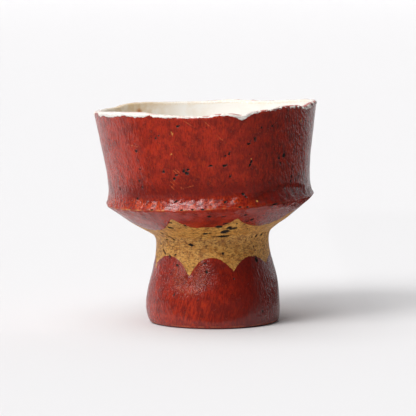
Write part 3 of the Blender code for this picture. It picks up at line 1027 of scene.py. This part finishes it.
class CUP_OT_torn_lip(bpy.types.Operator):
    """Makes the torn white lip, which hangs over the red wall with a ragged edge"""

    bl_idname = "cup.torn_lip"
    bl_label = "Torn lip"

    def execute(self, context):
        sizes, colours = context.scene.cup_sizes, context.scene.cup_colours
        body = bpy.data.objects["cup_body"]
        lip = copy_of_cup("torn_lip")
        crest = crest_levels(lip, SPOKES)

        def near_crest(centre, normal):
            """Whether a face is on the lip, or just past it, where the shell's edge is hidden."""
            bearing, _, level = in_the_bowl(centre)
            reach = TORN_REACH * 1.15 if outward(centre, normal) > 0 else LIP_INSIDE
            return crest(bearing) - level < reach

        keep_faces(lip, near_crest)
        shape(lip, "SUBSURF", levels=3, render_levels=3)
        crest = crest_levels(lip, LIP_SPOKES)
        crest_radius = {}
        for point in lip.data.vertices:
            bearing, radius, level = in_the_bowl(point.co)
            spoke = round(bearing / 360 * LIP_SPOKES) % LIP_SPOKES
            if level > crest(bearing) - 0.01 * MM:
                crest_radius[spoke] = radius

        def depth_outside(place):
            """How far a place lies below the crest outside, in metres, and less than 0 for the inside."""
            bearing, radius, level = in_the_bowl(place)
            spoke = round(bearing / 360 * LIP_SPOKES) % LIP_SPOKES
            below = crest(bearing) - level
            return below if radius > crest_radius.get(spoke, CREST_RADIUS) else -below

        def clear(place):
            """How far a point lies above the torn edge, in mm: below it the shell dives under the wall."""
            bearing = in_the_bowl(place)[0]
            crumbly = sizes.torn_grain / MM * (1 + 1.5 * ease((bearing - 36) / 8))
            ragged = crumbly * noise.noise(place / (0.7 * MM))
            return torn_drop(bearing) / MM - depth_outside(place) / MM + ragged

        def proud(place, normal):
            """1 on the torn clay, and less down the inside."""
            below = depth_outside(place)
            return clear(place) / TORN_FADE if below > 0 else 1 + below / LIP_INSIDE

        def sunk(place, normal):
            """1 where the shell is under the wall."""
            return -clear(place) / TORN_FADE

        def rough(place, normal):
            """1 on the torn clay outside, and less towards its crest and its edge."""
            return min(depth_outside(place) / (0.5 * MM), clear(place) / TORN_FADE)

        depths = [depth_outside(point.co) for point in lip.data.vertices]
        standing = weigh(lip, "standing", proud)
        hidden = weigh(lip, "hidden", sunk)
        outer = weigh(lip, "outer", rough)
        shape(lip, "SHRINKWRAP", target=body, wrap_mode="ABOVE_SURFACE", offset=0.02 * MM)
        depth = lip.data.attributes.new(DEPTH, "FLOAT", "POINT")
        depth.data.foreach_set("value", [below / MM for below in depths])
        shape(lip, "DISPLACE", strength=-sizes.torn_sink, mid_level=0.0, vertex_group=hidden)
        shape(lip, "DISPLACE", strength=sizes.torn_stand, mid_level=0.0, vertex_group=standing)
        crumbs = clouds("torn_crumbs", 0.9 * MM)
        shape(lip, "DISPLACE", texture=crumbs, strength=sizes.torn_grain, vertex_group=outer)
        shape(lip, "SOLIDIFY", thickness=sizes.torn_wall, offset=-1.0)
        lip.data.materials.append(torn_clay(colours))
        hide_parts(NODE)
        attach(lip, BODY)
        return {"FINISHED"}


class CUP_OT_studio(bpy.types.Operator):
    """Makes the paper sweep, the soft lights and the camera"""

    bl_idname = "cup.studio"
    bl_label = "Studio"

    def execute(self, context):
        scene, studio = context.scene, context.scene.cup_studio
        bpy.ops.object.select_all(action="DESELECT")
        bpy.ops.mesh.primitive_plane_add(size=1, location=(0, 0, 0))
        sweep = context.object
        sweep.name = "paper_sweep"
        bpy.ops.object.mode_set(mode="EDIT")
        bpy.ops.transform.resize(value=(SWEEP_WIDTH, SWEEP_DEPTH, 1), center_override=(0, 0, 0))
        bpy.ops.object.mode_set(mode="OBJECT")
        bpy.ops.object.transform_apply()
        choose(sweep.data, lambda face: False)
        for edge in sweep.data.edges:
            edge.select = all(sweep.data.vertices[v].co.y > 0 for v in edge.vertices)
        bpy.ops.object.mode_set(mode="EDIT")
        bpy.ops.mesh.select_mode(type="EDGE")
        bpy.ops.mesh.extrude_region_move(TRANSFORM_OT_translate={"value": (0, 0, SWEEP_RISE)})
        bpy.ops.object.mode_set(mode="OBJECT")
        for edge in sweep.data.edges:
            ends = [sweep.data.vertices[v].co for v in edge.vertices]
            edge.select = all(end.y > 0 and end.z < SWEEP_RISE / 2 for end in ends)
        bpy.ops.object.mode_set(mode="EDIT")
        bpy.ops.mesh.bevel(offset=SWEEP_BEND, segments=24)
        bpy.ops.object.mode_set(mode="OBJECT")
        sweep.data.shade_smooth()
        sweep.data.materials.append(paper(studio))
        sweep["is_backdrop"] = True

        # The flags are seen only in the gloss of the coat, where they keep the paper's glare off the cup
        cloth = new_material("black_flag_cloth", Base_Color=studio.flag, Roughness=1.0)[0]
        for name, ((left, near), (right, far)) in FLAGS.items():
            middle = ((left + right) / 2, (near + far) / 2, 1 * MM)
            bpy.ops.mesh.primitive_plane_add(size=1, location=middle)
            flag = context.object
            flag.name = name
            flag.scale = (right - left, far - near, 1)
            bpy.ops.object.transform_apply()
            flag.data.materials.append(cloth)
            flag.visible_camera = flag.visible_diffuse = flag.visible_shadow = False
            flag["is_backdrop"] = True

        for name, way, width, strength in LIGHTS:
            bpy.ops.object.light_add(type="SUN", location=Vector(way))
            light = context.object
            light.name = name
            light.data.angle = math.radians(width)
            light.data.energy = strength
            light.rotation_euler = Vector(way).to_track_quat("Z", "Y").to_euler()

        # The room is white at the back and on the left, and dark behind the camera
        world = bpy.data.worlds.new("studio_room")
        scene.world = world
        world.use_nodes = True
        tree = world.node_tree
        background = tree.nodes["Background"]
        background.inputs["Color"].default_value = (1, 1, 1, 1)
        parts = add(tree, "SeparateXYZ", [add(tree, "TexCoord", out="Generated")]).node.outputs
        back = add(tree, "MapRange", [parts[1], -0.1, 0.7, studio.dark_side, studio.bright_side])
        left = add(tree, "MapRange", [parts[0], -1.0, 0.9, 0.88, 0.45])
        tree.links.new(times(tree, back, left), background.inputs["Strength"])

        place = (FOOT_AXIS.x + studio.aside, -studio.distance, studio.height)
        bpy.ops.object.camera_add(location=place)
        camera = context.object
        camera.rotation_euler = (math.pi / 2 - studio.pitch, 0, studio.pan)
        camera.data.lens = studio.lens
        camera.data.clip_end = 50
        scene.camera = camera
        scene.view_settings.view_transform = "Standard"
        return {"FINISHED"}


class CUP_PT_looks(bpy.types.Panel):
    """Lists the cup's pieces and the studio"""

    bl_idname = "CUP_PT_looks"
    bl_label = "Footed cup"
    bl_space_type = "VIEW_3D"
    bl_region_type = "UI"
    bl_category = "Cup"

    def draw(self, context):
        for operator in OPERATORS:
            self.layout.operator(operator.bl_idname)
        for group in (context.scene.cup_sizes, context.scene.cup_colours, context.scene.cup_studio):
            for name in group.__annotations__:
                self.layout.prop(group, name)


OPERATORS = (CUP_OT_clay_body, CUP_OT_glaze_lining, CUP_OT_torn_lip, CUP_OT_studio)
GROUPS = {"cup_sizes": CupSizes, "cup_colours": CupColours, "cup_studio": StudioSettings}


def register():
    for group_name, group in GROUPS.items():
        bpy.utils.register_class(group)
        setattr(bpy.types.Scene, group_name, bpy.props.PointerProperty(type=group))
    for kind in (*OPERATORS, CUP_PT_looks):
        bpy.utils.register_class(kind)


def unregister():
    for kind in (CUP_PT_looks, *reversed(OPERATORS)):
        bpy.utils.unregister_class(kind)
    for group_name, group in reversed(GROUPS.items()):
        delattr(bpy.types.Scene, group_name)
        bpy.utils.unregister_class(group)


def main():
    register()
    bpy.ops.cup.clay_body()
    bpy.ops.cup.glaze_lining()
    bpy.ops.cup.torn_lip()
    bpy.ops.cup.studio()
    boxes = {"cad": cad_box, "visual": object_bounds()}
    {name: [list(corner) for corner in box] for name, box in boxes.items()}


if __name__ == "__main__":
    main()
